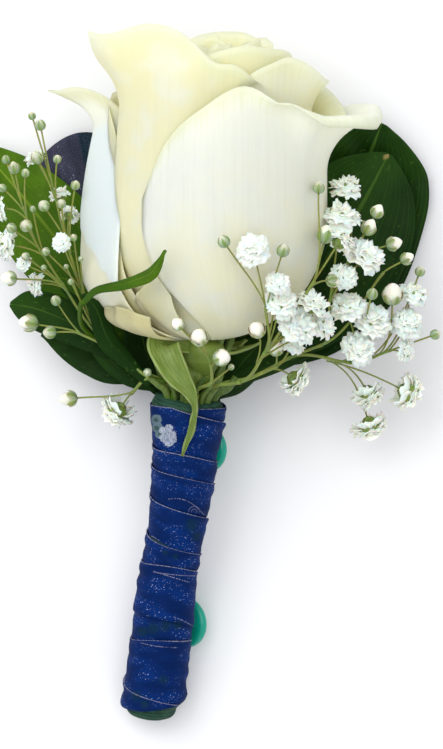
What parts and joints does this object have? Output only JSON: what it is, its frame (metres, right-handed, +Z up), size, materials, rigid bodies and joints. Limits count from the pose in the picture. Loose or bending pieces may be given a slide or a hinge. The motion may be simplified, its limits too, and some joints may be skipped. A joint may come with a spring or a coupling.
{
  "type": "boutonniere",
  "caption": "White rose boutonniere with baby's breath, glossy leaves and a sheer navy ribbon wound round its taped stems, lying on its back",
  "frame": {"origin": "middle of the bounding box at its base, on the surface the bunch lies on", "axes": "+Y runs from the cut end of the stems to the bloom, +Z is up out of the surface, +X is to the right as seen in the picture"},
  "size_m": [0.0894, 0.1322, 0.0547],
  "materials": {
    "petal": "matte",
    "calyx": "satin",
    "leaf": "satin",
    "leaf_bright": "satin",
    "spray": "matte",
    "sheer_ribbon": "satin",
    "navy_ribbon": "satin",
    "floral_tape": "matte",
    "pin_head": "gloss",
    "pin_shank": "satin"
  },
  "bodies": {
    "root": {"rose_bloom": "petal", "rose_hip_sepals_stem": "calyx", "leaf_right_back": "leaf", "leaf_right_front": "leaf", "leaf_left_upper": "leaf_bright", "leaf_left_middle": "leaf", "leaf_left_lower": "leaf", "leaf_narrow_curling": "leaf_bright", "ribbon_loop": "sheer_ribbon", "babys_breath_left": "spray", "babys_breath_left_low": "spray", "babys_breath_front": "spray", "babys_breath_right": "spray", "babys_breath_right_front": "spray", "floral_tape": "floral_tape", "ribbon_wound": "navy_ribbon", "pin_head_upper": "pin_head", "pin_shank_upper": "pin_shank", "pin_head_lower": "pin_head", "pin_shank_lower": "pin_shank"}
  },
  "joints": []
}
